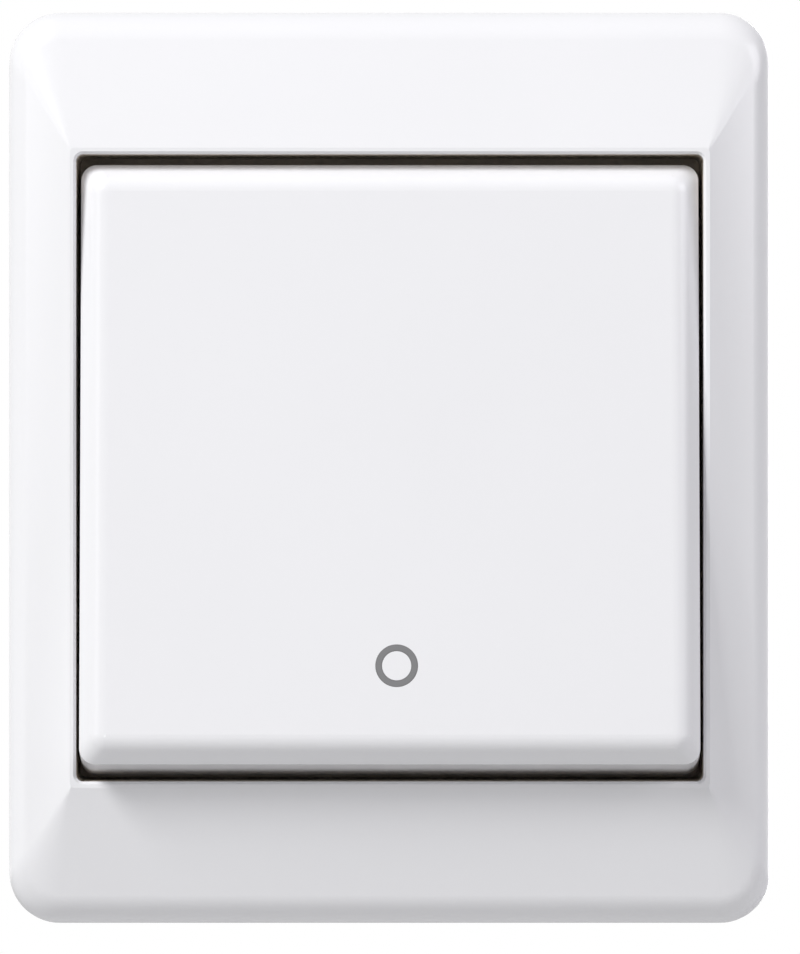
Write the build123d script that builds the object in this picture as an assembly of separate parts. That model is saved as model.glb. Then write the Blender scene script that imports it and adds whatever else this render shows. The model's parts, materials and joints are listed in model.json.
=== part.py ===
from build123d import *
from math import acos, atan2, cos, radians, sin, sqrt, tan
import os

# A surface-mounted two-pole rocker switch for a room light: a hood with a sloped, mitred front, screwed to
# a base plate on the wall, and a large rocker that tips two contact levers through sprung plungers.
# Every piece is drawn as if the switch lay on its back: x to the right, y up the wall and z out from it,
# with z = 0 on the wall. WALL stands the finished pieces up. All sizes are in millimetres and degrees.

# Cover: the hood that is seen on the wall
COVER_WIDTH = 74.4
COVER_HEIGHT = 89.0
COVER_WALL = 2.0
COVER_CORNER = 5.0
COVER_STANDOFF = 0.4
LIP_HEIGHT = 40.0
FRONT_RISE = 3.75
EDGE_ROUND = 4.0
MITRE_ROUND = 7.2
MITRE_APEX = 0.2
OPENING = 60.8
OPENING_CORNER = 0.7
LIP_LAND = 0.6
LIP_CHAMFER = 0.25
COLLAR_WALL = 1.6
COLLAR_DEPTH = 12.4
COLLAR_LEDGE = 3.0
COVER_RIB = 1.2
COVER_RIB_SPACING = 36.0

# Cable knock-outs: scored tabs in the top and bottom walls, thin square webs in the base
KNOCKOUT_WIDTH = 16.0
KNOCKOUT_HEIGHT = 20.0
KNOCKOUT_CORNER = 3.0
REAR_KNOCKOUT = 12.0
REAR_KNOCKOUT_SPACING = 42.0
SCORE_WIDTH = 0.8
SCORE_DEPTH = 0.7
REAR_KNOCKOUT_DEPTH = 1.4

# Rocker cap
ROCKER_SIDE_GAP = 0.3
ROCKER_END_GAP = 0.6
ROCKER_PROUD = 2.6
ROCKER_SKIRT = 9.6
ROCKER_BEVEL = 1.8
ROCKER_BEVEL_RUN = 1.6
ROCKER_SIDE_LEAN = 0.2
ROCKER_END_LEAN = 0.9
ROCKER_WALL = 1.8
ROCKER_CORNER = 1.5
ROCKER_ROUND = 2.2
ROCKER_RIB = 1.0
ROCKER_RIB_HEIGHT = 1.6
PIVOT_DEPTH = 6.6
ROCKER_TILT = 5.0

# Rocker carrier: clipped under the cap, turns in the bearing frame
CARRIER_LENGTH = 31.0
CARRIER_WIDTH = 15.0
CARRIER_PLATE = 2.4
CHEEK = 2.0
CHEEK_WIDTH = 6.4
SPINE = 1.8
TRUNNION_RADIUS = 1.5
CLIP_WIDTH = 5.0
CLIP_WALL = 1.3
CLIP_HOOK = 0.8
CLIP_SPACING = 9.0

# Plunger and spring in each barrel of the carrier
POLE_SPACING = 21.0
BARREL_SIZE = 6.0
BARREL_BORE = 4.0
BARREL_DIP = 3.0
PLUNGER_GUIDE = 5.0
PLUNGER_TIP_RADIUS = 1.3
PLUNGER_MID_GAP = 0.12
SPRING_WIRE = 0.5
SPRING_TURNS = 4
SPRING_BENDS = 12
SPRING_SEAT = 1.0

# Contact levers: shallow brass vees that rock on a knife edge
LEVER_PIVOT_HEIGHT = 15.5
LEVER_WIDTH = 6.0
LEVER_THICKNESS = 1.2
LEVER_VEE = 7.0
LEVER_TILT = 9.0
LEVER_TAIL = 9.0
LEVER_OVERHANG = 1.6
CONTACT_ARM = 9.6
CONTACT_SIZE = 2.6
CONTACT_HEIGHT = 0.9
CONTACT_GAP = 0.1
KNIFE_GAP = 0.1

# Strips and terminals
STRIP = 1.0
STRIP_WIDTH = 6.0
TERMINAL_WIDTH = 7.0
TERMINAL_LENGTH = 4.6
TERMINAL_HEIGHT = 9.0
WIRE_ROOM = 3.6

# Mechanism housing and its bearing frame
HOUSING_WIDTH = 46.0
HOUSING_WALL = 1.8
HOUSING_FLOOR = 2.0
HOUSING_TOP = 26.0
HOUSING_CORNER = 1.5
HOUSING_PARTITION = 1.6
CROSS_WALL = 1.2
LEVER_ROOM = 0.8
WING_TOP = 18.0
TERMINAL_RIB = 1.2
BEARING_PLATE = 2.0
EAR_WALL = 2.6
EAR_FOOT = 11.0
EAR_HEAD = 7.0
EAR_LIP = 1.6
EAR_MOUTH = 2.6
WINDOW_ROOM = 0.6
LATCH_WIDTH = 8.0
LATCH_WALL = 1.4
LATCH_LENGTH = 9.0
LATCH_WINDOW = 5.0
LATCH_CATCH = 1.1

# Base plate
BASE_FLOOR = 2.4
BASE_RIM = 1.6
BASE_RIM_HEIGHT = 8.0
BASE_RIB = 1.4
BASE_RIB_HEIGHT = 5.0
POST_RADIUS = 3.2
POST_X = 16.0
LEDGE = 1.2
LEDGE_HEIGHT = 6.0
HOOK_WIDTH = 6.0
HOOK_WALL = 1.4
HOOK_BARB = 0.9
WALL_SLOT_SPACING = 60.0
WALL_SLOT_WIDTH = 4.4
WALL_SLOT_LENGTH = 9.0

# Screws
SCREW_RADIUS = 1.45
SCREW_HEAD_RADIUS = 2.6
SCREW_HEAD = 1.8
SCREW_LENGTH = 9.0
SCREW_SLOT = 0.7
SLOT_DEPTH = 0.9
TERMINAL_BACKED_OUT = 1.0
TERMINAL_BITE = 0.4
COVER_TAB = 2.0
TAB_WIDTH = 8.0

# Clearances
NEST_CLEARANCE = 0.2
FIT_CLEARANCE = 0.05
SLIDE_CLEARANCE = 0.08
PART_CLEARANCE = 0.3

# Levels above the wall
COVER_EDGE = LIP_HEIGHT - FRONT_RISE
COLLAR_BOTTOM = LIP_HEIGHT - COLLAR_DEPTH
ROCKER_FACE = LIP_HEIGHT + ROCKER_PROUD
ROCKER_RIM = ROCKER_FACE - ROCKER_SKIRT
ROCKER_CEILING = ROCKER_FACE - ROCKER_WALL
PIVOT = ROCKER_FACE - PIVOT_DEPTH
CARRIER_BOTTOM = ROCKER_CEILING - CARRIER_PLATE
CHAMBER_FLOOR = BASE_FLOOR + HOUSING_FLOOR
STRIP_TOP = CHAMBER_FLOOR + STRIP
WIRE_LEVEL = STRIP_TOP + TERMINAL_HEIGHT * 0.4
BEARING_TOP = HOUSING_TOP + BEARING_PLATE
LEVER_TOP = LEVER_PIVOT_HEIGHT + LEVER_THICKNESS / cos(radians(LEVER_VEE))
PLUNGER_TIP = LEVER_TOP + PLUNGER_MID_GAP
BARREL_END = HOUSING_TOP - BARREL_DIP
BARREL_TOP = CARRIER_BOTTOM - SPRING_SEAT

# Places across the wall
LIP = OPENING + 2 * LIP_LAND
SIDE_RUN = (COVER_WIDTH - LIP) / 2
END_RUN = (COVER_HEIGHT - LIP) / 2
POLE_X = POLE_SPACING / 2
SIDES = {"left": -POLE_X, "right": POLE_X}
CHAMBER = CONTACT_ARM + LEVER_OVERHANG + LEVER_ROOM
TERMINAL_ROOM = TERMINAL_LENGTH + 2 * NEST_CLEARANCE
TERMINAL_Y = CHAMBER + CROSS_WALL + TERMINAL_ROOM / 2
HOUSING_LENGTH = 2 * (CHAMBER + CROSS_WALL + TERMINAL_ROOM + HOUSING_WALL)
POST_Y = HOUSING_LENGTH / 2 + POST_RADIUS + PART_CLEARANCE
BASE_WIDTH = COVER_WIDTH - 2 * (COVER_WALL + NEST_CLEARANCE)
BASE_HEIGHT = COVER_HEIGHT - 2 * (COVER_WALL + NEST_CLEARANCE)
EAR_INNER = CARRIER_LENGTH / 2 + PART_CLEARANCE
TRUNNION = PART_CLEARANCE + EAR_WALL
SCREW_HOLE = SCREW_RADIUS + FIT_CLEARANCE
PLUNGER_SIZE = BARREL_BORE - 2 * SLIDE_CLEARANCE

# A rounded edge stays inside the rounded corner that it runs round, and takes part of the slope beside it.
ROUND_SHARE = 0.85
SLOPE_SHARE = 0.65
# Points this near to each other are taken as one.
TOUCH = 0.001

WALL = Plane(origin=(0, 0, 0), x_dir=(1, 0, 0), z_dir=(0, -1, 0))


def slab(x, y, z):
    """Block between two values on each axis."""
    middle = [(low + high) / 2 for low, high in (x, y, z)]
    return Pos(*middle) * Box(x[1] - x[0], y[1] - y[0], z[1] - z[0])


def rod(radius, x, y, z):
    """Upright round rod between two levels."""
    return Pos(x, y, (z[0] + z[1]) / 2) * Cylinder(radius, z[1] - z[0])


def rounded_slab(width, height, corner, z):
    """Upright prism on a rounded rectangle between two levels."""
    return Pos(0, 0, z[0]) * extrude(RectangleRounded(width, height, corner), z[1] - z[0])


def along_x(profile, x, width):
    """Solid of even width about x, from a profile drawn in y and z."""
    return Pos(x, 0, 0) * extrude(Plane.YZ * profile, width / 2, both=True)


def along_y(profile, length):
    """Solid of even length about the middle, from a profile drawn in x and z."""
    return extrude(Plane.XZ * profile, length / 2, both=True)


def edges_at(solid, level):
    return solid.edges().filter_by_position(Axis.Z, level - TOUCH, level + TOUCH)


def edges_between(solid, low, high):
    """Edges that end short of both levels."""
    low, high = low + TOUCH, high - TOUCH
    return [edge for edge in solid.edges() if all(low < (edge @ end).Z < high for end in (0, 1))]


def tip(solid, level, angle):
    """Turn a solid about the left-to-right line through the given level."""
    return Pos(0, 0, level) * Rot(angle, 0, 0) * Pos(0, 0, -level) * solid


def slotted(radius, x, y, levels):
    """Upright round rod with a driver slot across its top."""
    return rod(radius, x, y, levels) - Pos(x, y, levels[1]) * Box(2 * radius, SCREW_SLOT, 2 * SLOT_DEPTH)


def hook_profile(inner, wall, root, catch, barb):
    """Snap hook in y and z: a leg from its root, with a barb that reaches inwards past the catch level."""
    end = catch + 2 * barb if catch > root else catch - 2 * barb
    outer = inner + wall
    return make_face(
        Polyline(
            (inner, root),
            (inner, catch),
            (inner - barb, catch),
            (inner, end),
            (outer, end),
            (outer, root),
            close=True,
        )
    )


# Cover
def cover():
    levels = (COVER_STANDOFF, LIP_HEIGHT)
    hood = rounded_slab(COVER_WIDTH, COVER_HEIGHT, COVER_CORNER, levels) & sloped_front()
    edge_round = min(EDGE_ROUND, ROUND_SHARE * COVER_CORNER, SLOPE_SHARE * min(SIDE_RUN, END_RUN))
    hood = fillet(edges_between(hood, *levels), edge_round)

    inner_width = COVER_WIDTH - 2 * COVER_WALL
    inner_height = COVER_HEIGHT - 2 * COVER_WALL
    cavity = rounded_slab(inner_width, inner_height, COVER_CORNER - COVER_WALL, levels)
    cavity &= along_x(inner_profile(COVER_HEIGHT, END_RUN), 0, COVER_WIDTH)
    cavity &= along_y(inner_profile(COVER_WIDTH, SIDE_RUN), COVER_HEIGHT)

    collar_side = OPENING / 2 + COLLAR_WALL
    collar_levels = (COLLAR_BOTTOM, LIP_HEIGHT - COVER_WALL)
    collar = slab((-collar_side, collar_side), (-collar_side, collar_side), collar_levels)
    ledge_top = COLLAR_BOTTOM + COVER_TAB
    within_ledge = OPENING - 2 * COLLAR_LEDGE
    opening = rounded_slab(OPENING, OPENING, OPENING_CORNER, (ledge_top, LIP_HEIGHT))
    opening += rounded_slab(within_ledge, within_ledge, OPENING_CORNER, (COLLAR_BOTTOM, ledge_top))
    shell = hood - cavity + collar + (cover_ribs(collar_levels) & cavity) - opening
    shell = chamfer([edge for edge in edges_at(shell, LIP_HEIGHT) if borders_opening(edge)], LIP_CHAMFER)

    for side in (-1, 1):
        shell += cover_tab(side)
        shell -= cable_score(side)
    return shell


def sloped_front():
    """Four slopes from the lip down to the wall, each two of them blended by a cone along their mitre."""
    lip = front_outline(0)
    foot = front_outline(LIP_HEIGHT / FRONT_RISE)
    faces = [Face(Wire(lip)), Face(Wire(foot))]
    for low, high in zip(foot, lip):
        if low.geom_type == GeomType.LINE:
            faces.append(Face(Wire.make_polygon([low @ 0, low @ 1, high @ 1, high @ 0])))
        else:
            faces.append(Face.make_surface_from_curves(low, high))
    return Solid(Shell(faces))


def front_outline(reach):
    """Edges round the slopes where they are a number of rises below the lip, rounded across the mitres.

    Each mitre is rounded by a cone that touches both slopes. Its apex is on the mitre, just above the lip,
    its radius one rise below the lip is MITRE_ROUND, and a level cut across it is part of an ellipse.
    """
    mitre = Vector(SIDE_RUN, END_RUN, FRONT_RISE)
    half_turn = acos(cos(atan2(FRONT_RISE, SIDE_RUN)) * cos(atan2(FRONT_RISE, END_RUN))) / 2
    spread = MITRE_ROUND * tan(half_turn) / (mitre.length * (1 + MITRE_APEX))
    from_apex = mitre.length * (reach + MITRE_APEX)
    weight = cos(half_turn)
    backs = []
    for along in (mitre.X / mitre.length, mitre.Y / mitre.length):
        across = sqrt(1 - along**2)
        backs.append(from_apex * spread / (across + along * spread))
        weight *= sqrt(across / (across + along * spread))

    x = LIP / 2 + reach * SIDE_RUN
    y = LIP / 2 + reach * END_RUN
    level = LIP_HEIGHT - reach * FRONT_RISE
    corners = []
    for right, up in ((1, 1), (-1, 1), (-1, -1), (1, -1)):
        ends = [(right * x, up * (y - backs[1]), level), (right * (x - backs[0]), up * y, level)]
        if right != up:
            ends.reverse()
        corners.append((ends[0], (right * x, up * y, level), ends[1]))
    edges = []
    for corner, following in zip(corners, corners[1:] + corners[:1]):
        edges.append(Edge.make_bezier(*corner, weights=[1, weight, 1]))
        edges.append(Edge.make_line(corner[2], following[0]))
    return edges


def inner_profile(size, run):
    """Inside of the cover across one of its sizes, a wall thickness behind the slopes."""
    slope = atan2(FRONT_RISE, run)
    drop = COVER_WALL / cos(slope)
    half = size / 2 - COVER_WALL
    shoulder = COVER_EDGE + COVER_WALL * tan(slope) - drop
    ceiling = LIP_HEIGHT - drop
    return make_face(
        Polyline(
            (-half, 0),
            (half, 0),
            (half, shoulder),
            (LIP / 2, ceiling),
            (-LIP / 2, ceiling),
            (-half, shoulder),
            close=True,
        )
    )


def borders_opening(edge):
    middle = edge @ 0.5
    return max(abs(middle.X), abs(middle.Y)) < OPENING / 2 + TOUCH


def cover_ribs(levels):
    """Ribs that tie the collar to the outer walls."""
    offset = COVER_RIB_SPACING / 2
    ribs = Part()
    for place in (-offset, offset):
        span = (place - COVER_RIB / 2, place + COVER_RIB / 2)
        ribs += slab(span, (-COVER_HEIGHT / 2, COVER_HEIGHT / 2), levels)
        ribs += slab((-COVER_WIDTH / 2, COVER_WIDTH / 2), span, levels)
    return ribs


def cover_tab(side):
    """Tongue from the collar over a base post."""
    x = -side * POST_X
    root = OPENING / 2 + COLLAR_WALL / 2
    reach = sorted((side * (POST_Y - TAB_WIDTH / 2), side * root))
    levels = (COLLAR_BOTTOM, COLLAR_BOTTOM + COVER_TAB)
    tongue = slab((x - TAB_WIDTH / 2, x + TAB_WIDTH / 2), reach, levels)
    return tongue - rod(SCREW_HOLE + PART_CLEARANCE, x, side * POST_Y, levels)


def cable_score(side):
    """Scored outline of the cable knock-out in the top or bottom wall."""
    wall = side * COVER_HEIGHT / 2
    outline = RectangleRounded(KNOCKOUT_WIDTH, 2 * KNOCKOUT_HEIGHT, KNOCKOUT_CORNER)
    outline -= offset(outline, -SCORE_WIDTH)
    return Pos(0, wall, 0) * Rot(90, 0, 0) * extrude(outline, SCORE_DEPTH, both=True)


# Rocker
def rocker():
    width = OPENING - 2 * ROCKER_SIDE_GAP
    height = OPENING - 2 * ROCKER_END_GAP
    shell = leaning_block(width, height, (ROCKER_RIM, ROCKER_FACE), ROCKER_SIDE_LEAN, ROCKER_END_LEAN)
    upright = [edge for edge in shell.edges() if ROCKER_RIM + TOUCH < edge.center().Z < ROCKER_FACE - TOUCH]
    shell = fillet(upright, ROCKER_CORNER) & bevelled_face(width, height)

    width -= 2 * ROCKER_WALL
    height -= 2 * ROCKER_WALL
    share = (ROCKER_CEILING - ROCKER_RIM) / ROCKER_SKIRT
    leans = (share * ROCKER_SIDE_LEAN, share * ROCKER_END_LEAN)
    shell -= leaning_block(width, height, (ROCKER_RIM, ROCKER_CEILING), *leans)
    for side in (-1, 1):
        shell += rocker_rib(side, width)
        for x in (-CLIP_SPACING, CLIP_SPACING):
            shell += rocker_clip(x, side)
    return shell


def bevelled_face(width, height):
    """Wide block that gives the rocker its bevels, with softly rounded edges round the face."""
    width += 2 * (ROCKER_BEVEL_RUN - ROCKER_SIDE_LEAN)
    height += 2 * (ROCKER_BEVEL_RUN - ROCKER_END_LEAN)
    foot = ROCKER_FACE - 2 * ROCKER_BEVEL
    lean = 2 * ROCKER_BEVEL_RUN
    block = leaning_block(width, height, (foot, ROCKER_FACE), lean, lean)
    block = fillet([edge for edge in block.edges() if edge.center().Z > foot + TOUCH], ROCKER_ROUND)
    return block + slab((-width / 2, width / 2), (-height / 2, height / 2), (ROCKER_RIM, foot))


def leaning_block(width, height, levels, side_lean, end_lean):
    """Block whose sides and ends lean inwards as they rise."""
    rings = []
    for level, share in zip(levels, (0, 1)):
        x = width / 2 - share * side_lean
        y = height / 2 - share * end_lean
        rings.append([(-x, -y, level), (x, -y, level), (x, y, level), (-x, y, level)])
    outlines = list(rings)
    foot, face = rings
    for corner, start in enumerate(foot):
        outlines.append([foot[corner - 1], start, face[corner], face[corner - 1]])
    return Solid(Shell([Face(Wire.make_polygon(outline)) for outline in outlines]))


def rocker_rib(side, length):
    """Stiffening rib under the face, just outside the clips."""
    y = side * (CARRIER_WIDTH / 2 + FIT_CLEARANCE + CLIP_WALL + ROCKER_RIB)
    levels = (ROCKER_CEILING - ROCKER_RIB_HEIGHT, ROCKER_CEILING + ROCKER_WALL / 2)
    return slab((-length / 2, length / 2), (y - ROCKER_RIB / 2, y + ROCKER_RIB / 2), levels)


def rocker_clip(x, side):
    """Hook that holds the edge of the carrier plate."""
    inner = CARRIER_WIDTH / 2 + FIT_CLEARANCE
    root = ROCKER_CEILING + ROCKER_WALL / 2
    hook = hook_profile(inner, CLIP_WALL, root, CARRIER_BOTTOM - FIT_CLEARANCE, CLIP_HOOK)
    clip = along_x(hook, x, CLIP_WIDTH)
    return clip if side > 0 else mirror(clip, Plane.XZ)


def rocker_carrier():
    half = CARRIER_LENGTH / 2
    half_width = CARRIER_WIDTH / 2
    carrier = slab((-half, half), (-half_width, half_width), (CARRIER_BOTTOM, ROCKER_CEILING))
    carrier += slab((-half, half), (-SPINE / 2, SPINE / 2), (PIVOT - TRUNNION_RADIUS, CARRIER_BOTTOM))
    trunnion = Pos(0, PIVOT) * Circle(TRUNNION_RADIUS)
    cheek_width = (-CHEEK_WIDTH / 2, CHEEK_WIDTH / 2)
    cheek_levels = (PIVOT - CHEEK_WIDTH / 2, CARRIER_BOTTOM)
    for side in (-1, 1):
        carrier += slab(sorted((side * (half - CHEEK), side * half)), cheek_width, cheek_levels)
        carrier += along_x(trunnion, side * (half + TRUNNION / 2), TRUNNION)
    for x in SIDES.values():
        carrier += upright(BARREL_SIZE, x, (BARREL_END, CARRIER_BOTTOM))
        carrier -= upright(BARREL_BORE, x, (BARREL_END, BARREL_TOP))
    return carrier


def upright(size, x, levels):
    """Upright square bar on the middle line."""
    return slab((x - size / 2, x + size / 2), (-size / 2, size / 2), levels)


def plunger(x):
    """Square stem that narrows to a round-nosed blade across the lever."""
    half = PLUNGER_SIZE / 2
    shoulder = BARREL_END + PLUNGER_GUIDE
    neck = BARREL_END - SPRING_SEAT
    nose = PLUNGER_TIP + PLUNGER_TIP_RADIUS
    blade = make_face(
        Polyline(
            (-PLUNGER_TIP_RADIUS, nose),
            (PLUNGER_TIP_RADIUS, nose),
            (half, neck),
            (half, shoulder),
            (-half, shoulder),
            (-half, neck),
            close=True,
        )
    )
    blade += Pos(0, nose) * Circle(PLUNGER_TIP_RADIUS)
    return along_x(blade, x, PLUNGER_SIZE)


def plunger_spring(x):
    """Coil of square wire, bent in short straight lengths."""
    foot = BARREL_END + PLUNGER_GUIDE + SPRING_WIRE / 2 + FIT_CLEARANCE
    head = BARREL_TOP - SPRING_WIRE / 2 - FIT_CLEARANCE
    coil = BARREL_BORE / 2 - SPRING_WIRE
    helix = Helix((head - foot) / SPRING_TURNS, head - foot, coil, center=(x, 0, foot))
    lengths = SPRING_TURNS * SPRING_BENDS
    path = Polyline([helix @ (bend / lengths) for bend in range(lengths + 1)])
    wire = Plane(origin=path @ 0, z_dir=path % 0) * Rectangle(SPRING_WIRE, SPRING_WIRE)
    return sweep(wire, path=path, transition=Transition.RIGHT)


# Contact levers
def arm_place(distance, above):
    """Point of the left half of the lever at a distance from its knife edge and above its lower face."""
    vee = radians(LEVER_VEE)
    y = -distance * cos(vee) + above * sin(vee)
    return y, LEVER_PIVOT_HEIGHT + distance * sin(vee) + above * cos(vee)


def contact_lever(x):
    end = CONTACT_ARM + LEVER_OVERHANG
    tail_low = arm_place(LEVER_TAIL, 0)
    tail_high = arm_place(LEVER_TAIL, LEVER_THICKNESS)
    vee = make_face(
        Polyline(
            (0, LEVER_PIVOT_HEIGHT),
            (-tail_low[0], tail_low[1]),
            (-tail_high[0], tail_high[1]),
            (0, LEVER_TOP),
            arm_place(end, LEVER_THICKNESS),
            arm_place(end, 0),
            close=True,
        )
    )
    vee -= Pos(0, LEVER_PIVOT_HEIGHT) * Circle(STRIP / 2 + KNIFE_GAP)
    return along_x(vee, x, LEVER_WIDTH)


def moving_contact(x):
    """Contact pad under the long arm of the lever."""
    y, level = arm_place(CONTACT_ARM, 0)
    pad = Box(CONTACT_SIZE, CONTACT_SIZE, CONTACT_HEIGHT, align=(Align.CENTER, Align.CENTER, Align.MAX))
    return Pos(x, y, level) * Rot(-LEVER_VEE, 0, 0) * pad


def closed_contact_level():
    """Level of the moving contact's lowest point when the lever is tipped to its closed position."""
    y, level = arm_place(CONTACT_ARM, -CONTACT_HEIGHT)
    turn = radians(LEVER_TILT)
    return LEVER_PIVOT_HEIGHT + y * sin(turn) + (level - LEVER_PIVOT_HEIGHT) * cos(turn)


def closed_contact_y():
    y, level = arm_place(CONTACT_ARM, -CONTACT_HEIGHT)
    turn = radians(LEVER_TILT)
    return y * cos(turn) - (level - LEVER_PIVOT_HEIGHT) * sin(turn)


# Strips, fixed contacts and terminals
PAD_SLANT = CONTACT_SIZE / 2 * sin(radians(LEVER_TILT - LEVER_VEE))
FIXED_TOP = closed_contact_level() - PAD_SLANT - CONTACT_GAP
PLATFORM_TOP = FIXED_TOP - CONTACT_HEIGHT


def line_strip(x):
    """Flat foot under the line terminal, turned up to the round knife edge below the lever."""
    end = TERMINAL_Y + TERMINAL_LENGTH / 2
    foot = CHAMBER_FLOOR + STRIP / 2
    path = FilletPolyline((0, LEVER_PIVOT_HEIGHT), (0, foot), (end, foot), radius=STRIP)
    profile = trace(path, STRIP) + Pos(0, LEVER_PIVOT_HEIGHT) * Circle(STRIP / 2)
    return along_x(profile, x, STRIP_WIDTH)


def load_strip(x):
    """Flat foot under the load terminal, turned up and over to carry the fixed contact."""
    start = -TERMINAL_Y - TERMINAL_LENGTH / 2
    rise = -CHAMBER + LEVER_ROOM / 2 + STRIP / 2
    end = closed_contact_y() + CONTACT_SIZE / 2 + STRIP / 2
    foot = CHAMBER_FLOOR + STRIP / 2
    shelf = PLATFORM_TOP - STRIP / 2
    path = FilletPolyline((start, foot), (rise, foot), (rise, shelf), (end, shelf), radius=STRIP * 0.7)
    return along_x(trace(path, STRIP), x, STRIP_WIDTH)


def fixed_contact(x):
    half = CONTACT_SIZE / 2
    middle = closed_contact_y()
    return slab((x - half, x + half), (middle - half, middle + half), (PLATFORM_TOP, FIXED_TOP))


def terminal(x, y):
    """Cage terminal: a brass block on the strip, with a square wire opening and a screw hole down to it."""
    top = STRIP_TOP + TERMINAL_HEIGHT
    half = TERMINAL_LENGTH / 2
    across = (x - TERMINAL_WIDTH / 2, x + TERMINAL_WIDTH / 2)
    block = slab(across, (y - half, y + half), (STRIP_TOP, top)) - wire_passage(x, (y - half, y + half))
    return block - rod(SCREW_HOLE, x, y, (WIRE_LEVEL, top))


def wire_passage(x, y):
    """Square room for a wire along y."""
    half = WIRE_ROOM / 2
    return slab((x - half, x + half), y, (WIRE_LEVEL - half, WIRE_LEVEL + half))


def terminal_screws():
    """Headless clamping screws, backed out ready for the wires."""
    top = STRIP_TOP + TERMINAL_HEIGHT + TERMINAL_BACKED_OUT
    levels = (WIRE_LEVEL + WIRE_ROOM / 2 - TERMINAL_BITE, top)
    places = [(x, y) for x in SIDES.values() for y in (-TERMINAL_Y, TERMINAL_Y)]
    return Part() + [slotted(SCREW_RADIUS, x, y, levels) for x, y in places]


# Mechanism housing and bearing frame
def mechanism_housing():
    half_width = HOUSING_WIDTH / 2
    half_length = HOUSING_LENGTH / 2
    middle = CHAMBER + CROSS_WALL
    tray = rounded_slab(HOUSING_WIDTH, HOUSING_LENGTH, HOUSING_CORNER, (BASE_FLOOR, HOUSING_TOP))
    for end in (-1, 1):
        wing = sorted((end * middle, end * half_length))
        tray -= slab((-half_width, half_width), wing, (WING_TOP, HOUSING_TOP))
        tray += housing_ledge(end)
        tray += latch_catch(end)
    for x in SIDES.values():
        side = 1 if x > 0 else -1
        room = sorted((side * HOUSING_PARTITION / 2, side * (half_width - HOUSING_WALL)))
        tray -= slab(room, (-CHAMBER, CHAMBER), (CHAMBER_FLOOR, HOUSING_TOP))
        for end in (-1, 1):
            pocket = sorted((end * middle, end * (half_length - HOUSING_WALL)))
            tray -= slab(room, pocket, (CHAMBER_FLOOR, HOUSING_TOP))
            tray += terminal_ribs(x, pocket)
            tray -= wire_passage(x, sorted((end * (half_length - HOUSING_WALL), end * half_length)))
            tray -= strip_passage(x, end)
    return tray


def strip_passage(x, end):
    """Slot for a strip at the foot of a cross wall."""
    room = STRIP_WIDTH / 2 + NEST_CLEARANCE
    through = sorted((end * CHAMBER, end * (CHAMBER + CROSS_WALL)))
    return slab((x - room, x + room), through, (CHAMBER_FLOOR, STRIP_TOP + NEST_CLEARANCE))


def terminal_ribs(x, pocket):
    """Two ribs that keep a terminal from turning."""
    inner = TERMINAL_WIDTH / 2 + NEST_CLEARANCE
    levels = (CHAMBER_FLOOR, STRIP_TOP + TERMINAL_HEIGHT)
    left = slab((x - inner - TERMINAL_RIB, x - inner), pocket, levels)
    return left + slab((x + inner, x + inner + TERMINAL_RIB), pocket, levels)


def housing_ledge(end):
    """Ledge on the end wall, held down by a hook of the base."""
    x = end * POST_X
    half = HOOK_WIDTH / 2
    reach = sorted((end * (HOUSING_LENGTH / 2 - HOUSING_WALL / 2), end * (HOUSING_LENGTH / 2 + LEDGE)))
    return slab((x - half, x + half), reach, (BASE_FLOOR, LEDGE_HEIGHT))


def latch_catch(side):
    """Ramped catch on the side wall for the latch of the bearing frame."""
    wall = HOUSING_WIDTH / 2
    low = HOUSING_TOP - LATCH_LENGTH + LATCH_WALL + NEST_CLEARANCE
    ramp = make_face(
        Polyline(
            (wall - HOUSING_WALL / 2, low),
            (wall + LATCH_CATCH, low),
            (wall, low + LATCH_WINDOW - 2 * NEST_CLEARANCE),
            (wall - HOUSING_WALL / 2, low + LATCH_WINDOW - 2 * NEST_CLEARANCE),
            close=True,
        )
    )
    catch = extrude(Plane.XZ * ramp, LATCH_WINDOW / 2 - NEST_CLEARANCE, both=True)
    return catch if side > 0 else mirror(catch, Plane.YZ)


def bearing_frame():
    half_length = CHAMBER + CROSS_WALL
    levels = (HOUSING_TOP, BEARING_TOP)
    frame = slab((-HOUSING_WIDTH / 2, HOUSING_WIDTH / 2), (-half_length, half_length), levels)
    swing = (PIVOT - BARREL_END) * sin(radians(ROCKER_TILT))
    reach = BARREL_SIZE / 2 + WINDOW_ROOM
    for x in SIDES.values():
        frame -= slab((x - reach, x + reach), (-reach - swing, reach + swing), levels)
    for side in (-1, 1):
        frame += bearing_ear(side)
        frame += latch(side)
    return frame


def bearing_ear(side):
    """Snap bearing: a tapered ear with a round seat and a mouth narrower than the trunnion."""
    ear = make_face(
        Polyline(
            (-EAR_FOOT / 2, HOUSING_TOP),
            (EAR_FOOT / 2, HOUSING_TOP),
            (EAR_HEAD / 2, PIVOT),
            (EAR_HEAD / 2, PIVOT + EAR_LIP),
            (-EAR_HEAD / 2, PIVOT + EAR_LIP),
            (-EAR_HEAD / 2, PIVOT),
            close=True,
        )
    )
    ear -= Pos(0, PIVOT) * Circle(TRUNNION_RADIUS + FIT_CLEARANCE)
    ear -= Pos(0, PIVOT + EAR_LIP) * Rectangle(EAR_MOUTH, 2 * EAR_LIP)
    return along_x(ear, side * (EAR_INNER + EAR_WALL / 2), EAR_WALL)


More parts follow.
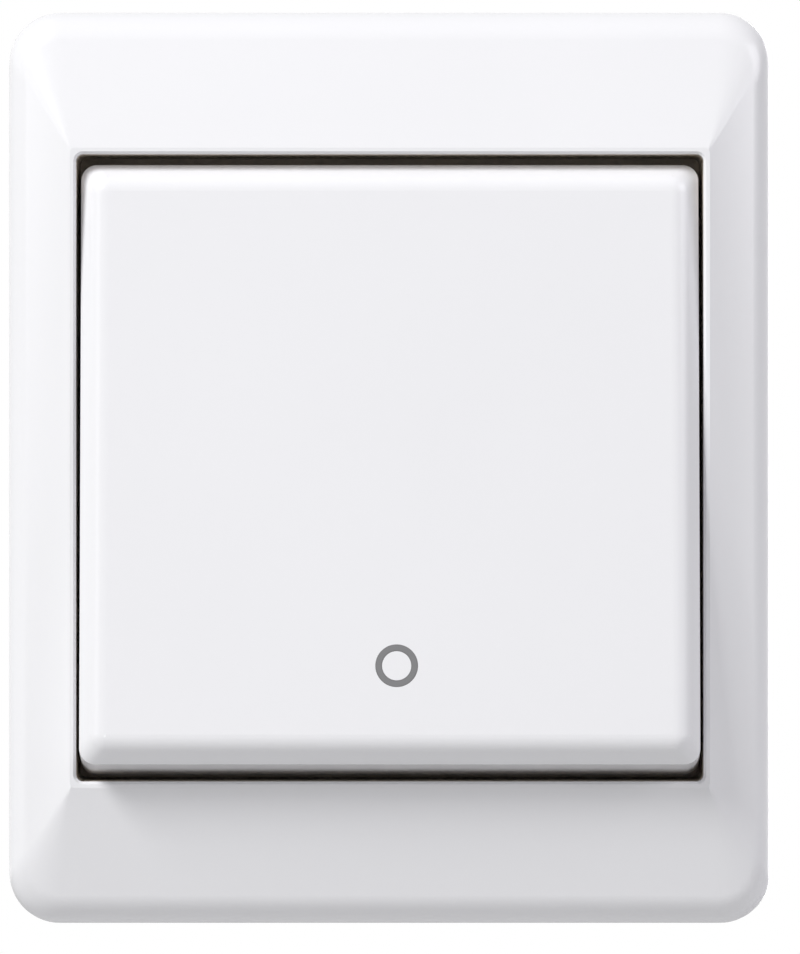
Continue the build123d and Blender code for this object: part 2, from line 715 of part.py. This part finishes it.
def latch(side):
    """Leg down the side of the housing, with a window for the catch."""
    inner = HOUSING_WIDTH / 2 + NEST_CLEARANCE
    low = HOUSING_TOP - LATCH_LENGTH
    outer = inner + LATCH_WALL
    across = (-LATCH_WIDTH / 2, LATCH_WIDTH / 2)
    leg = slab((inner, outer), across, (low, BEARING_TOP))
    leg += slab((HOUSING_WIDTH / 2 - LATCH_WALL, outer), across, (HOUSING_TOP, BEARING_TOP))
    window = (low + LATCH_WALL, low + LATCH_WALL + LATCH_WINDOW)
    leg -= slab((inner, outer), (-LATCH_WINDOW / 2, LATCH_WINDOW / 2), window)
    return leg if side > 0 else mirror(leg, Plane.YZ)


# Base
def base():
    corner = COVER_CORNER - COVER_WALL - NEST_CLEARANCE
    tray = rounded_slab(BASE_WIDTH, BASE_HEIGHT, corner, (0, BASE_RIM_HEIGHT))
    inner_width = BASE_WIDTH - 2 * BASE_RIM
    inner_height = BASE_HEIGHT - 2 * BASE_RIM
    tray -= rounded_slab(inner_width, inner_height, corner - BASE_RIM, (BASE_FLOOR, BASE_RIM_HEIGHT))
    rib_x = inner_width / 2 - 3 * BASE_RIB
    knockout_y = (inner_height - REAR_KNOCKOUT) / 2 - 2 * SCORE_WIDTH
    for end in (-1, 1):
        tray += Pos(end * rib_x, 0, BASE_RIB_HEIGHT / 2) * Box(BASE_RIB, inner_height, BASE_RIB_HEIGHT)
        tray += screw_post(-end * POST_X, end * POST_Y)
        tray += housing_hook(end)
        tray -= wall_slot(end * WALL_SLOT_SPACING / 2)
        web = Box(REAR_KNOCKOUT, REAR_KNOCKOUT, 2 * REAR_KNOCKOUT_DEPTH)
        tray -= Pos(end * REAR_KNOCKOUT_SPACING / 2, knockout_y, 0) * web
        notch = sorted((end * inner_height / 2, end * BASE_HEIGHT / 2))
        tray -= slab((-KNOCKOUT_WIDTH / 2, KNOCKOUT_WIDTH / 2), notch, (BASE_FLOOR, BASE_RIM_HEIGHT))
    return tray


def screw_post(x, y):
    """Post with a blind hole for a screw of the cover."""
    hole = (COLLAR_BOTTOM - SCREW_LENGTH, COLLAR_BOTTOM)
    return rod(POST_RADIUS, x, y, (0, COLLAR_BOTTOM)) - rod(SCREW_HOLE, x, y, hole)


def housing_hook(end):
    """Hook over the ledge of the mechanism housing."""
    inner = HOUSING_LENGTH / 2 + LEDGE + NEST_CLEARANCE
    hook = hook_profile(inner, HOOK_WALL, 0, LEDGE_HEIGHT + FIT_CLEARANCE, HOOK_BARB)
    leg = along_x(hook, POST_X, HOOK_WIDTH)
    return leg if end > 0 else Rot(0, 0, 180) * leg


def wall_slot(y):
    slot = SlotOverall(WALL_SLOT_LENGTH, WALL_SLOT_WIDTH, rotation=90)
    return Pos(0, y, 0) * extrude(slot, BASE_FLOOR)


def cover_screws():
    """Slotted cheese-head screws through the tabs of the cover, one at each end of a diagonal."""
    seat = COLLAR_BOTTOM + COVER_TAB
    pair = []
    for end in (-1, 1):
        x, y = -end * POST_X, end * POST_Y
        head = slotted(SCREW_HEAD_RADIUS, x, y, (seat, seat + SCREW_HEAD))
        pair.append(head + rod(SCREW_RADIUS, x, y, (seat - SCREW_LENGTH, seat)))
    return Part() + pair


def pressed(piece):
    """Rocker piece as it rests with its upper end pressed in."""
    return tip(piece, PIVOT, -ROCKER_TILT)


def closed(piece):
    """Lever piece as it rests with its contact closed."""
    return tip(piece, LEVER_PIVOT_HEIGHT, LEVER_TILT)


pieces = {
    "base": base(),
    "cover": cover(),
    "cover_screws": cover_screws(),
    "mechanism_housing": mechanism_housing(),
    "bearing_frame": bearing_frame(),
    "terminal_screws": terminal_screws(),
    "rocker": pressed(rocker()),
    "rocker_carrier": pressed(rocker_carrier()),
}
for side, x in SIDES.items():
    pieces[f"plunger_{side}"] = pressed(plunger(x))
    pieces[f"plunger_spring_{side}"] = pressed(plunger_spring(x))
    pieces[f"contact_lever_{side}"] = closed(contact_lever(x))
    pieces[f"moving_contact_{side}"] = closed(moving_contact(x))
    pieces[f"line_strip_{side}"] = line_strip(x)
    pieces[f"load_strip_{side}"] = load_strip(x)
    pieces[f"fixed_contact_{side}"] = fixed_contact(x)
    pieces[f"line_terminal_{side}"] = terminal(x, TERMINAL_Y)
    pieces[f"load_terminal_{side}"] = terminal(x, -TERMINAL_Y)

os.makedirs("parts", exist_ok=True)
for name, piece in pieces.items():
    export_step(WALL * piece, f"parts/{name}.step")
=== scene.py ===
import json
from math import cos, pi, radians, sin

import bmesh
import bpy
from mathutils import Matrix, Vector


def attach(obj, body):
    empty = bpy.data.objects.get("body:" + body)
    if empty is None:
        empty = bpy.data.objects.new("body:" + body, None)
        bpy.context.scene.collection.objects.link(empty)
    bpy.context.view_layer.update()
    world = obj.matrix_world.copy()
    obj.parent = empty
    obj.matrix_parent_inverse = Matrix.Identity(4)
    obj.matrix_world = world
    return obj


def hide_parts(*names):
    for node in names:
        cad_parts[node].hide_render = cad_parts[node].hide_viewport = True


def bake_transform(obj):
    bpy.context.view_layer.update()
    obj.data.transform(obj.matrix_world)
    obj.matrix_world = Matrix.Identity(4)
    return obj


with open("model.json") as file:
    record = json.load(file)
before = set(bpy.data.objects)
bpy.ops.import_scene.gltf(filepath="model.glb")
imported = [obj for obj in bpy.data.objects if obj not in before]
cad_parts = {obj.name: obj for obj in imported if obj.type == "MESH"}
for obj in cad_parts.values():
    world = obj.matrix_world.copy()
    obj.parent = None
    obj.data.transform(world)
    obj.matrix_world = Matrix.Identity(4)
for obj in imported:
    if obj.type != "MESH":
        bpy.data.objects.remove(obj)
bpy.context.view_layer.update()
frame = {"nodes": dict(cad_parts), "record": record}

MM = 0.001

# The rocker rests with its upper end pressed in, turned about a line this far from the wall.
PIVOT = 36.0 * MM
ROCKER_FACE = 42.6 * MM
ROCKER_TILT = radians(5)

# Front of the cover: four slopes from a square lip, rounded into the walls from EDGE_START off the wall.
# A facet belongs to this skin if its direction agrees with the skin's at least as well as SKIN_MATCH.
COVER_HALF_WIDTH = 37.2 * MM
COVER_HALF_HEIGHT = 44.5 * MM
COVER_CORNER = 5.0 * MM
COVER_EDGE_ROUND = 4.0 * MM
LIP_HALF = 31.0 * MM
SLOPE_RISE = 3.75 * MM
EDGE_START = 33.0 * MM
SKIN_MATCH = 0.7

# Off mark on the rocker: places are from the middle of its face
MARK_X = 0.67 * MM
MARK_Z = -19.7 * MM
MARK_OUTER = 2.08 * MM
MARK_INNER = 1.38 * MM
MARK_PROUD = 0.02 * MM
MARK_SUNK = 0.25
MARK_STEPS = 128
MARK_RINGS = 12

# Plunger springs
POLE_X = 10.5 * MM
SPRING_FOOT = 28.3 * MM
SPRING_HEAD = 37.1 * MM
SPRING_RADIUS = 1.5 * MM
SPRING_WIRE = 0.5 * MM
SPRING_TURNS = 4
WIRE_STEPS = 28
WIRE_SIDES = 10

# Gap round the rocker: where the painted warm light on its walls fades out towards the front
GAP_EDGE = (30.43 * MM, 30.47 * MM)
GAP_DEPTH = (-39.6 * MM, -38.2 * MM)

# Floor and room
FLOOR_HALF = 0.9
FLOOR_LEVEL = -0.2
FLOOR_DARK = (0.66, 0.66, 0.66)
FLOOR_LIGHT = (0.70, 0.70, 0.70)
ROOM_LIGHT = 0.17
ROOM_TINT = (0.985, 0.99, 1.0)
WHITE = (1.0, 1.0, 1.0)

# Lamps: name, place, size, power in watts and colour
FAINT_LAVENDER = (0.965, 0.95, 1.0)
LAMPS = (
    ("key_lamp", (-0.76, -0.76, 0.90), 0.4, 17.2, WHITE),
    ("side_lamp", (1.07, -0.50, 0.55), 0.8, 6.6, FAINT_LAVENDER),
    ("edge_lamp", (-0.98, -0.82, 0.23), 0.35, 0.6, WHITE),
    ("back_lamp", (0.60, 1.10, 0.05), 0.8, 5.0, WHITE),
)

# Camera straight in front, as far off as gives the photograph's slight perspective
CAMERA_PLACE = (0.00099, -0.71308, -0.00089)
CAMERA_LENS = 262.3
CAMERA_SENSOR = 36.0
CAMERA_NEAR = 0.01

# Colours of the mouldings and metals
COVER_WHITE = (0.833, 0.832, 0.850)
BASE_WHITE = (0.78, 0.78, 0.785)
HOUSING_GREY = (0.30, 0.305, 0.315)
CARRIER_GREY = (0.36, 0.365, 0.375)
BEARING_WHITE = (0.74, 0.74, 0.75)
PLUNGER_IVORY = (0.74, 0.70, 0.60)
# painted light: warm tint of the light bounced in the gap round the rocker
GAP_BOUNCE_TINT = (0.85, 0.76, 0.65)
MARK_GREY = (0.205, 0.205, 0.210)
BRASS = (0.72, 0.52, 0.23)
SILVER = (0.80, 0.79, 0.76)
ZINC = (0.62, 0.62, 0.63)
SPRING_STEEL = (0.50, 0.50, 0.51)
PLASTIC_IOR = 1.5


class Shade:
    """A number that varies over a surface. Arithmetic on it adds Math nodes."""

    def __init__(self, web, socket):
        self.web = web
        self.socket = socket

    def math(self, operation, first, second):
        return self.web.node("ShaderNodeMath", {"operation": operation}, {0: first, 1: second})

    def __add__(self, other):
        return self.math("ADD", self, other)

    def __sub__(self, other):
        return self.math("SUBTRACT", self, other)

    def __rsub__(self, other):
        return self.math("SUBTRACT", other, self)

    def __mul__(self, other):
        return self.math("MULTIPLY", self, other)

    def __pow__(self, other):
        return self.math("POWER", self, other)

    def __abs__(self):
        return self.math("ABSOLUTE", self, 0)

    def larger(self, other):
        return self.math("MAXIMUM", self, other)

    __radd__ = __add__
    __rmul__ = __mul__


class NodeWeb:
    """The nodes of a material or of the room."""

    def __init__(self, tree):
        self.tree = tree

    def node(self, kind, settings, sockets, output=0):
        """Adds a node: its settings first, then the values or links of its sockets."""
        made = self.tree.nodes.new(kind)
        for key, value in settings.items():
            setattr(made, key, value)
        for key, value in sockets.items():
            self.feed(made.inputs[key], value)
        return Shade(self, made.outputs[output])

    def feed(self, socket, value):
        if isinstance(value, Shade):
            self.tree.links.new(value.socket, socket)
        elif isinstance(value, tuple) and socket.type == "RGBA":
            socket.default_value = (*value, 1.0)
        else:
            socket.default_value = value

    def outputs(self, kind, sockets):
        """Adds a node and gives all its outputs, by name."""
        made = self.node(kind, {}, sockets).socket.node
        return {output.name: Shade(self, output) for output in made.outputs}


class Finish(NodeWeb):
    """A material in the making, with one Principled shader."""

    def __init__(self, name):
        self.material = bpy.data.materials.new(name)
        self.material.use_nodes = True
        super().__init__(self.material.node_tree)
        self.shader = self.tree.nodes["Principled BSDF"]
        self.place = self.node("ShaderNodeTexCoord", {}, {}, "Object")

    def mix(self, share, first, second):
        return self.node("ShaderNodeMix", {"data_type": "RGBA"}, {0: share, 6: first, 7: second}, 2)

    def noise(self, size, detail=2.0, roughness=0.5, stretch=None):
        """Even noise from 0 to 1, with features of about the given size in metres."""
        place = self.place
        if stretch:
            scaling = {"operation": "MULTIPLY"}
            place = self.node("ShaderNodeVectorMath", scaling, {0: place, 1: stretch})
        sockets = {"Vector": place, "Scale": 1 / size, "Detail": detail, "Roughness": roughness}
        return self.node("ShaderNodeTexNoise", {"noise_dimensions": "3D"}, sockets, "Fac")

    def band(self, shade, low, high):
        """0 below low, 1 above high, with a soft step between."""
        settings = {"interpolation_type": "SMOOTHSTEP"}
        return self.node("ShaderNodeMapRange", settings, {0: shade, 1: low, 2: high, 3: 0.0, 4: 1.0})

    def along(self):
        """The three parts of the place on the surface."""
        return self.outputs("ShaderNodeSeparateXYZ", {0: self.place}).values()

    def bump(self, height, depth, strength=1.0):
        sockets = {"Height": height, "Distance": depth, "Strength": strength}
        return self.node("ShaderNodeBump", {}, sockets, "Normal")

    def done(self, **sockets):
        """Sets the shader's sockets, named with _ for each space, and gives the material."""
        for key, value in sockets.items():
            self.feed(self.shader.inputs[key.replace("_", " ")], value)
        return self.material


def toned(colour, factor):
    return tuple(part * factor for part in colour)


def gloss_moulding(name, colour, painted_bounce=0.0):
    """Polished white plastic: faint waviness from the mould, fine dulling from handling.

    The cover's walls round the rocker are painted a warm tint that stands in for light bounced in the gap.
    """
    finish = Finish(name)
    x, y, z = finish.along()
    within = 1 - finish.band(abs(x).larger(abs(z)), *GAP_EDGE)
    # painted light: the gap walls are tinted warm where bounced light would be, fading out towards the
    # front
    bounce_share = within * finish.band(y, *GAP_DEPTH) * painted_bounce
    sink = finish.noise(22 * MM, detail=1.0)
    peel = finish.noise(1.1 * MM, detail=2.0)
    rub = finish.noise(6 * MM, detail=5.0, roughness=0.65)
    specks = finish.band(finish.noise(0.6 * MM, detail=1.0), 0.70, 0.78)
    return finish.done(
        Base_Color=finish.mix(
            bounce_share, finish.mix(sink * 0.6 + specks * 0.15, colour, toned(colour, 0.965)), GAP_BOUNCE_TINT
        ),
        Roughness=0.19 + rub * 0.10 + bounce_share * 0.2,
        Normal=finish.bump(sink * 0.8 + peel * 0.2, 0.04 * MM, 0.35),
        IOR=PLASTIC_IOR,
    )


def satin_moulding(name, colour, grain=0.5 * MM, rough=0.42):
    """Plain inner plastic: fine spark-eroded grain and a little flow marking."""
    finish = Finish(name)
    erosion = finish.noise(grain, detail=3.0, roughness=0.6)
    flow = finish.noise(12 * MM, detail=4.0, roughness=0.6, stretch=(1.0, 0.35, 1.0))
    return finish.done(
        Base_Color=finish.mix(flow, toned(colour, 0.93), toned(colour, 1.05)),
        Roughness=rough + erosion * 0.16,
        Normal=finish.bump(erosion, 0.03 * MM, 0.5),
        IOR=PLASTIC_IOR,
    )


def rolled_brass(name):
    """Stamped strip: rolling lines along its length and a light tarnish."""
    finish = Finish(name)
    lines = finish.noise(1.2 * MM, detail=3.0, stretch=(6.0, 1.0, 0.35))
    tarnish = finish.noise(5 * MM, detail=5.0, roughness=0.65)
    stain = finish.band(tarnish, 0.52, 0.74)
    return finish.done(
        Base_Color=finish.mix(stain * 0.6, BRASS, toned(BRASS, 0.62)),
        Metallic=1.0,
        Roughness=0.24 + lines * 0.14 + stain * 0.14,
        Normal=finish.bump(lines, 0.015 * MM, 0.5),
    )


def drawn_metal(name, colour, rough, size):
    """Turned or drawn metal with fine marks and a dull bloom."""
    finish = Finish(name)
    marks = finish.noise(size, detail=3.0, stretch=(1.0, 5.0, 1.0))
    bloom = finish.noise(3 * MM, detail=4.0, roughness=0.6)
    return finish.done(
        Base_Color=finish.mix(bloom, toned(colour, 0.86), toned(colour, 1.06)),
        Metallic=1.0,
        Roughness=rough + marks * 0.16,
        Normal=finish.bump(marks, 0.012 * MM, 0.5),
    )


def mark_paint():
    """Grey pad-printed ink, a little thicker and darker towards both edges of the ring."""
    finish = Finish("mark_paint")
    grain = finish.noise(0.2 * MM, detail=3.0)
    x, _, z = finish.along()
    middle = on_rocker(MARK_X, MARK_Z, 0)
    across = (x - middle.x) ** 2 + (z - middle.z) ** 2
    radius = across ** 0.5
    half = (MARK_OUTER - MARK_INNER) / 2
    from_line = abs(radius - (MARK_OUTER + MARK_INNER) / 2)
    rim = finish.band(from_line, 0.45 * half, half)
    return finish.done(
        Base_Color=finish.mix(rim * 0.8 + grain * 0.2, MARK_GREY, toned(MARK_GREY, 0.68)),
        Roughness=0.34 + grain * 0.14,
        Normal=finish.bump(grain, 0.01 * MM, 0.5),
    )


def on_rocker(x, z, proud):
    """Place in the row frame of a point over the rocker's face, as the rocker rests."""
    arm = ROCKER_FACE + proud - PIVOT
    out = PIVOT + arm * cos(ROCKER_TILT) - z * sin(ROCKER_TILT)
    return Vector((x, -out, z * cos(ROCKER_TILT) + arm * sin(ROCKER_TILT)))


def piece_from(name, mesh, material):
    data = bpy.data.meshes.new(name)
    mesh.to_mesh(data)
    mesh.free()
    data.polygons.foreach_set("use_smooth", [True] * len(data.polygons))
    data.materials.append(material)
    piece = bpy.data.objects.new(name, data)
    bpy.context.scene.collection.objects.link(piece)
    return piece


def skin_direction(x, z):
    """Outward direction of the cover's front skin over a place of it.

    The slopes of each corner meet in a fan of straight lines from the corner of the lip to the rounded
    corner of the walls. Near the walls, the skin turns on a round edge.
    """
    from_lip = Vector((abs(x) - LIP_HALF, abs(z) - LIP_HALF))
    side_run = COVER_HALF_WIDTH - LIP_HALF
    end_run = COVER_HALF_HEIGHT - LIP_HALF
    to_middle = Vector((side_run - COVER_CORNER, end_run - COVER_CORNER))
    if from_lip.y * side_run <= from_lip.x * to_middle.y:
        out = Vector((1.0, 0.0))
        run = side_run
    elif from_lip.x * end_run <= from_lip.y * to_middle.x:
        out = Vector((0.0, 1.0))
        run = end_run
    else:
        square = from_lip.length_squared
        half = to_middle.dot(from_lip)
        rest = to_middle.length_squared - COVER_CORNER**2
        to_wall = from_lip * ((half + (half * half - square * rest) ** 0.5) / square)
        out = (to_wall - to_middle).normalized()
        run = to_wall.dot(out)
    depth = run - from_lip.dot(out)
    steepness = SLOPE_RISE / (run * run + SLOPE_RISE**2) ** 0.5
    lean = min(max(1 - depth / COVER_EDGE_ROUND, steepness), 1.0)
    return Vector((
        lean * out.x * (1 if x > 0 else -1),
        -((1 - lean * lean) ** 0.5),
        lean * out.y * (1 if z > 0 else -1),
    ))


def smooth_cover(material):
    """The cover with an even sheen: the facets of its front take the direction of its true skin."""
    mesh = frame["nodes"]["cover"].data.copy()
    mesh.name = "cover_front"
    mesh.materials.clear()
    mesh.materials.append(material)
    directions = [Vector(corner.vector) for corner in mesh.corner_normals]
    for facet in mesh.polygons:
        middle = facet.center
        if -middle.y < EDGE_START or max(abs(middle.x), abs(middle.z)) < LIP_HALF:
            continue
        if facet.normal.dot(skin_direction(middle.x, middle.z)) < SKIN_MATCH:
            continue
        facet.use_smooth = True
        for corner in facet.loop_indices:
            place = mesh.vertices[mesh.loops[corner].vertex_index].co
            directions[corner] = skin_direction(place.x, place.z)
    mesh.normals_split_custom_set(directions)
    piece = bpy.data.objects.new("cover_front", mesh)
    bpy.context.scene.collection.objects.link(piece)
    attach(piece, "housing")
    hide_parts("cover")


def off_mark(material):
    """Flat ring with rounded edges, printed on the lower half of the rocker."""
    mesh = bmesh.new()
    middle = (MARK_OUTER + MARK_INNER) / 2
    half = (MARK_OUTER - MARK_INNER) / 2
    rings = []
    for step in range(MARK_RINGS + 1):
        share = 2 * step / MARK_RINGS - 1
        radius = middle + half * share
        proud = MARK_PROUD * (1 - abs(share) ** 6) - MARK_SUNK * MARK_PROUD
        turns = [2 * pi * corner / MARK_STEPS for corner in range(MARK_STEPS)]
        points = [on_rocker(MARK_X + radius * cos(a), MARK_Z + radius * sin(a), proud) for a in turns]
        rings.append([mesh.verts.new(point) for point in points])
    for inner, outer in zip(rings, rings[1:]):
        for corner in range(MARK_STEPS):
            following = (corner + 1) % MARK_STEPS
            mesh.faces.new((inner[corner], outer[corner], outer[following], inner[following]))
    mesh.normal_update()
    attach(piece_from("off_mark", mesh, material), "rocker")


def coil_spring(side, x, material):
    """Coil of round wire in the carrier's barrel, built where it sits as the rocker rests."""
    mesh = bmesh.new()
    count = SPRING_TURNS * WIRE_STEPS
    rise = (SPRING_HEAD - SPRING_FOOT) / (SPRING_TURNS * 2 * pi)
    rings = []
    for step in range(count + 1):
        angle = 2 * pi * step / WIRE_STEPS
        outward = Vector((cos(angle), sin(angle), 0.0))
        along = Vector((-SPRING_RADIUS * sin(angle), SPRING_RADIUS * cos(angle), rise)).normalized()
        across = along.cross(outward)
        middle = outward * SPRING_RADIUS + Vector((x, 0.0, SPRING_FOOT + rise * angle))
        ring = []
        for corner in range(WIRE_SIDES):
            turn = 2 * pi * corner / WIRE_SIDES
            point = middle + (outward * cos(turn) + across * sin(turn)) * (SPRING_WIRE / 2)
            ring.append(mesh.verts.new(on_rocker(point.x, point.y, point.z - ROCKER_FACE)))
        rings.append(ring)
    for lower, upper in zip(rings, rings[1:]):
        for corner in range(WIRE_SIDES):
            following = (corner + 1) % WIRE_SIDES
            mesh.faces.new((lower[corner], lower[following], upper[following], upper[corner]))
    mesh.faces.new(rings[0][::-1])
    mesh.faces.new(rings[-1])
    bmesh.ops.recalc_face_normals(mesh, faces=mesh.faces)
    coil = piece_from(f"coil_{side}", mesh, material)
    head = on_rocker(x, 0, SPRING_HEAD - ROCKER_FACE)
    foot = on_rocker(x, 0, SPRING_FOOT - ROCKER_FACE)
    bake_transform(coil)
    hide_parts(f"plunger_spring_{side}")


FINISHES = {
    "cover": gloss_moulding("cover_gloss", COVER_WHITE, painted_bounce=1.0),
    "rocker": gloss_moulding("rocker_gloss", COVER_WHITE),
    "base": satin_moulding("base_satin", BASE_WHITE),
    "housing": satin_moulding("housing_satin", HOUSING_GREY),
    "carrier": satin_moulding("carrier_satin", CARRIER_GREY),
    "bearing": satin_moulding("bearing_satin", BEARING_WHITE),
    "plunger": satin_moulding("plunger_satin", PLUNGER_IVORY, rough=0.30),
    "brass": rolled_brass("rolled_brass"),
    "contact": drawn_metal("contact_silver", SILVER, 0.26, 0.8 * MM),
    "screw": drawn_metal("screw_zinc", ZINC, 0.28, 0.6 * MM),
    "spring": drawn_metal("spring_wire", SPRING_STEEL, 0.30, 0.5 * MM),
}


def dress_cad_nodes():
    for subpart in frame["record"]["subparts"]:
        data = frame["nodes"][subpart["node"]].data
        data.materials.clear()
        data.materials.append(FINISHES[subpart["material_slot"]])


def pale_floor():
    mesh = bmesh.new()
    signs = ((-1, -1), (1, -1), (1, 1), (-1, 1))
    mesh.faces.new([mesh.verts.new((x * FLOOR_HALF, y * FLOOR_HALF, FLOOR_LEVEL)) for x, y in signs])
    data = bpy.data.meshes.new("pale_floor")
    mesh.to_mesh(data)
    mesh.free()
    finish = Finish("floor_paint")
    mottle = finish.noise(150 * MM, detail=3.0)
    data.materials.append(
        finish.done(
            Base_Color=finish.mix(mottle, FLOOR_DARK, FLOOR_LIGHT),
            Roughness=0.7 + mottle * 0.1,
        )
    )
    floor = bpy.data.objects.new("pale_floor", data)
    bpy.context.scene.collection.objects.link(floor)


def soft_lamp(name, place, size, power, colour):
    lamp = bpy.data.lights.new(name, "AREA")
    lamp.shape = "SQUARE"
    lamp.size = size
    lamp.energy = power
    lamp.color = colour
    holder = bpy.data.objects.new(name, lamp)
    holder.location = place
    holder.rotation_euler = (-Vector(place)).to_track_quat("-Z", "Y").to_euler()
    bpy.context.scene.collection.objects.link(holder)


def white_room():
    """Even soft light all round, which shows as plain white behind the object and in its gloss."""
    world = bpy.data.worlds.new("white_room")
    bpy.context.scene.world = world
    world.use_nodes = True
    web = NodeWeb(world.node_tree)
    rays = web.outputs("ShaderNodeLightPath", {})
    seen = rays["Is Camera Ray"].larger(rays["Is Glossy Ray"]).larger(rays["Is Transmission Ray"])
    lighting = web.node("ShaderNodeBackground", {}, {"Color": ROOM_TINT, "Strength": ROOM_LIGHT})
    shown = web.node("ShaderNodeBackground", {}, {"Color": WHITE, "Strength": 1.0})
    either = web.node("ShaderNodeMixShader", {}, {0: seen, 1: lighting, 2: shown})
    web.feed(web.tree.nodes["World Output"].inputs["Surface"], either)


def front_camera():
    lens = bpy.data.cameras.new("front_camera")
    lens.lens = CAMERA_LENS
    lens.sensor_width = CAMERA_SENSOR
    lens.clip_start = CAMERA_NEAR
    camera = bpy.data.objects.new("front_camera", lens)
    camera.location = CAMERA_PLACE
    camera.rotation_euler = (pi / 2, 0, 0)
    bpy.context.scene.collection.objects.link(camera)
    bpy.context.scene.camera = camera


dress_cad_nodes()
smooth_cover(FINISHES["cover"])
off_mark(mark_paint())
for side, x in (("left", -POLE_X), ("right", POLE_X)):
    coil_spring(side, x, FINISHES["spring"])
pale_floor()
white_room()
for lamp_values in LAMPS:
    soft_lamp(*lamp_values)
front_camera()
bpy.context.scene.view_settings.view_transform = "Standard"
